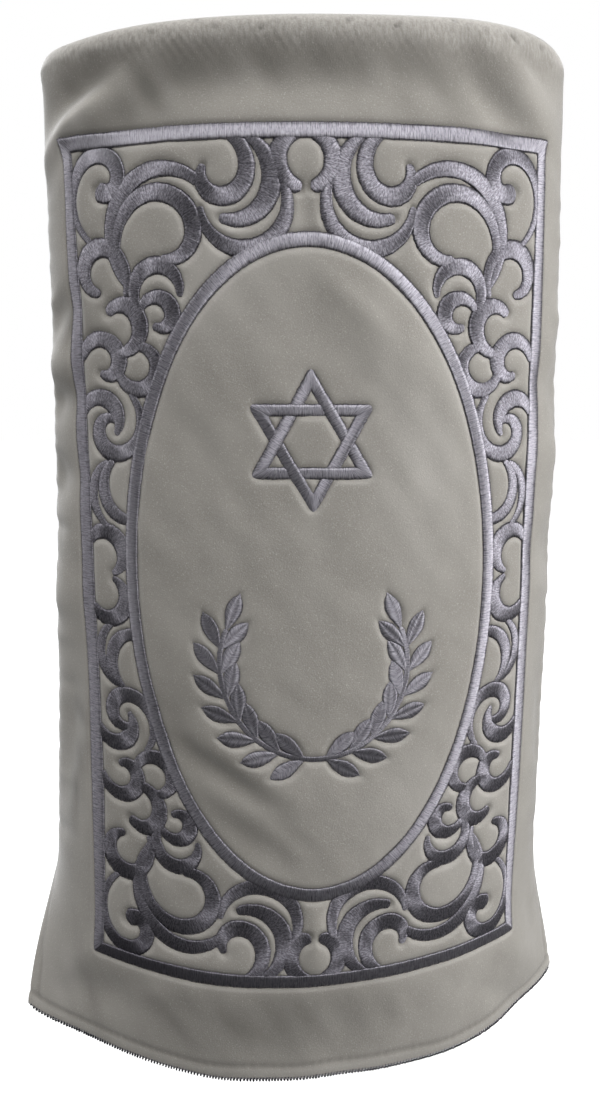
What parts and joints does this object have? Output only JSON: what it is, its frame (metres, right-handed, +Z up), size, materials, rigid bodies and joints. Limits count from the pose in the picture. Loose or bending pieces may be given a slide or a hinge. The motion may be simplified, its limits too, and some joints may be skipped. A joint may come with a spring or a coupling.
{
  "type": "torah mantle",
  "caption": "Hanging velvet cover for a scroll, closed at the top by a stiff oval board with roller holes, open at the hem, with satin-stitch embroidery on its front.",
  "frame": {"origin": "middle of the underside of the top board, where the cover rests on the scroll", "axes": "+Z up, +X across the front to the viewer's right, +Y towards the back, so the front faces -Y"},
  "size_m": [0.3965, 0.2378, 0.6602],
  "materials": {
    "velvet": "grey cotton velvet with a short dense pile that shades with its lie",
    "board_velvet": "the same grey velvet, glued over the stiff board",
    "satin_thread": "silver grey satin stitch, glossy along the thread, darker in the grooves"
  },
  "bodies": {
    "root": {"front_panel": "velvet", "back_panel": "velvet", "top_board": "board_velvet", "embroidered_border": "satin_thread", "embroidered_star": "satin_thread", "embroidered_wreath": "satin_thread"}
  },
  "joints": []
}
